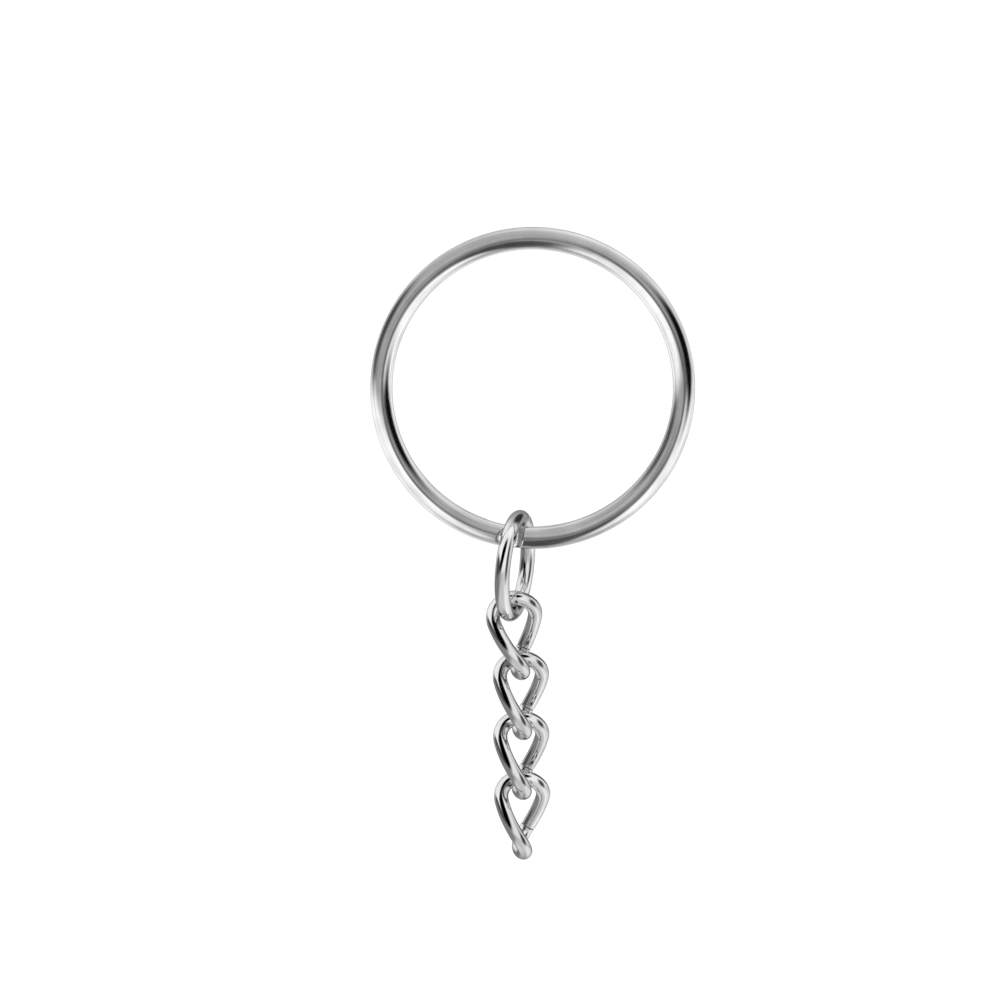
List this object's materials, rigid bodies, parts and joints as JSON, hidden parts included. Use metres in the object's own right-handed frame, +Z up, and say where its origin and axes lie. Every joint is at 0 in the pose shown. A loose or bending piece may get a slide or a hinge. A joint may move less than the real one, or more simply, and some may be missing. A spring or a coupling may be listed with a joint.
{
  "type": "split key ring",
  "caption": "Flat split key ring with a small jump ring and a short drop of twisted curb chain links, all in bright plated wire.",
  "frame": {"origin": "the highest point of the split ring's inner edge, midway between its two turns, where a hook or a nail carries it", "axes": "+Z up, with the chain hanging down -Z; +Y along the split ring's axis, towards its back; +X to the right seen from the front"},
  "size_m": [0.025, 0.0084, 0.0495],
  "materials": {
    "split_ring": "bright nickel plate on spring steel",
    "jump_ring": "bright nickel plate on steel wire",
    "chain_link": "bright nickel plate on steel wire"
  },
  "bodies": {
    "split_ring": {"split_ring": "split_ring"},
    "jump_ring": {"jump_ring": "jump_ring"},
    "chain_link_1": {"chain_link_1": "chain_link"},
    "chain_link_2": {"chain_link_2": "chain_link"},
    "chain_link_3": {"chain_link_3": "chain_link"},
    "chain_link_4": {"chain_link_4": "chain_link"}
  },
  "joints": [
    {"name": "jump_ring_swing", "type": "hinge", "parent": "split_ring", "child": "jump_ring", "pos_m": [-0.0011, 0, -0.0224], "axis": [0.9956, 0, -0.0941], "range_deg": [-100, 100]},
    {"name": "chain_link_1_swing", "type": "hinge", "parent": "jump_ring", "child": "chain_link_1", "pos_m": [-0.00162, 0, -0.0284], "axis": [0.2582, 0.9659, -0.0181], "range_deg": [-55, 55]},
    {"name": "chain_link_2_swing", "type": "hinge", "parent": "chain_link_1", "child": "chain_link_2", "pos_m": [-0.00093, 0, -0.03183], "axis": [0.9875, -0.1564, 0.0207], "range_deg": [-45, 45]},
    {"name": "chain_link_3_swing", "type": "hinge", "parent": "chain_link_2", "child": "chain_link_3", "pos_m": [-0.00081, 0, -0.03777], "axis": [-0.3419, 0.9397, -0.0072], "range_deg": [-55, 55]},
    {"name": "chain_link_4_swing", "type": "hinge", "parent": "chain_link_3", "child": "chain_link_4", "pos_m": [-0.0008, 0, -0.04127], "axis": [0.9877, -0.1564, 0], "range_deg": [-45, 45]}
  ]
}
